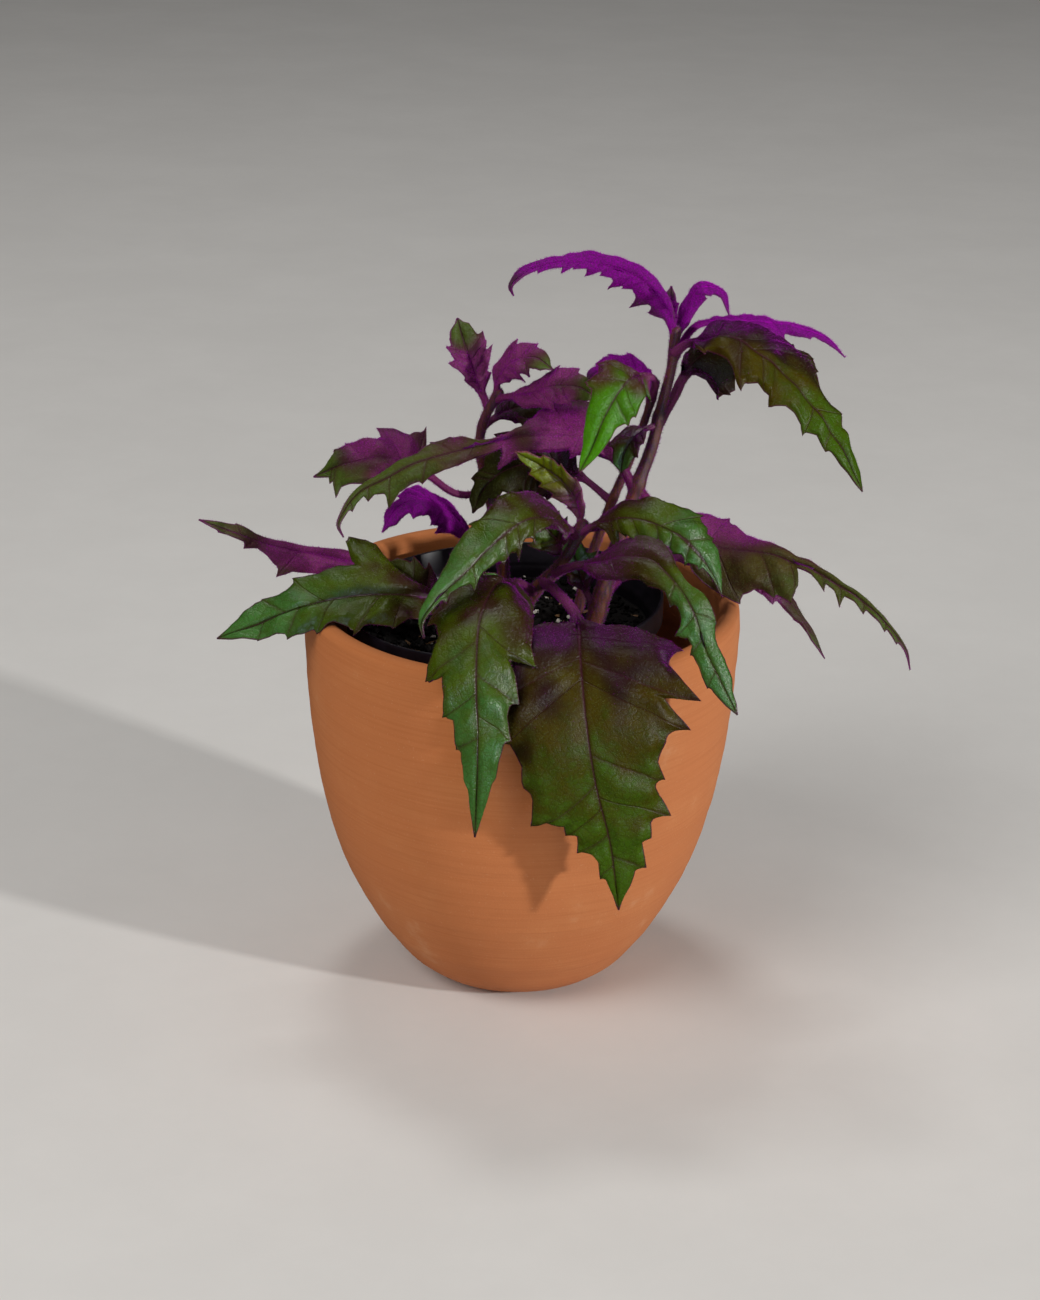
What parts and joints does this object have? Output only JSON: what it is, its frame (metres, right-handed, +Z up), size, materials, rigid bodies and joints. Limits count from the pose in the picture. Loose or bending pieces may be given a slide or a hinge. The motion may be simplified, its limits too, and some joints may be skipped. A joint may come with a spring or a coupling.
{
  "type": "potted purple passion plant",
  "caption": "Leafy velvet-haired houseplant with toothed green and purple leaves, rooted in a thin nursery pot that stands in an egg-shaped terracotta pot.",
  "frame": {"origin": "centre of the terracotta pot's flat base, on the surface that it stands on", "axes": "+Z up, -Y towards the side that the picture shows, +X to that view's right"},
  "size_m": [0.2587, 0.1822, 0.2758],
  "materials": {
    "terracotta": "matte, wheel-thrown, unglazed",
    "black_plastic": "thin, slightly glossy, dusty",
    "potting_soil": "crumbly, moist, with perlite",
    "stem": "hairy, brownish with a purple fuzz",
    "leaf": "velvety, green with purple hairs",
    "young_leaf": "velvety, dense violet hairs"
  },
  "bodies": {
    "root": {"terracotta_pot": "terracotta", "nursery_pot": "black_plastic", "soil": "potting_soil", "stem_main": "stem", "stem_front": "stem", "stem_back": "stem", "stem_middle": "stem", "stem_left": "stem", "leaf_crown_left": "young_leaf", "leaf_crown_right": "young_leaf", "leaf_crown_bud": "young_leaf", "leaf_top_right": "leaf", "leaf_top_back": "young_leaf", "leaf_top_hanging": "leaf", "leaf_bright": "leaf", "leaf_behind_bright": "young_leaf", "leaf_small_inner": "leaf", "leaf_back_upright": "young_leaf", "leaf_back_top": "young_leaf", "leaf_back_right": "young_leaf", "leaf_back_dark": "leaf", "leaf_far_left": "young_leaf", "leaf_long_left": "leaf", "leaf_long_right": "leaf", "leaf_under_right": "young_leaf", "leaf_front_upright": "young_leaf", "leaf_front_left": "leaf", "leaf_front_right": "leaf", "leaf_low_right": "leaf", "leaf_big_front": "leaf", "leaf_hanging_left": "leaf", "leaf_low_left": "leaf", "leaf_thin_left": "leaf", "leaf_curled_left": "young_leaf", "leaf_centre_dark": "leaf", "leaf_small_left": "leaf", "leaf_small_right": "leaf", "leaf_small_back": "leaf", "leaf_inner_left": "leaf"}
  },
  "joints": []
}
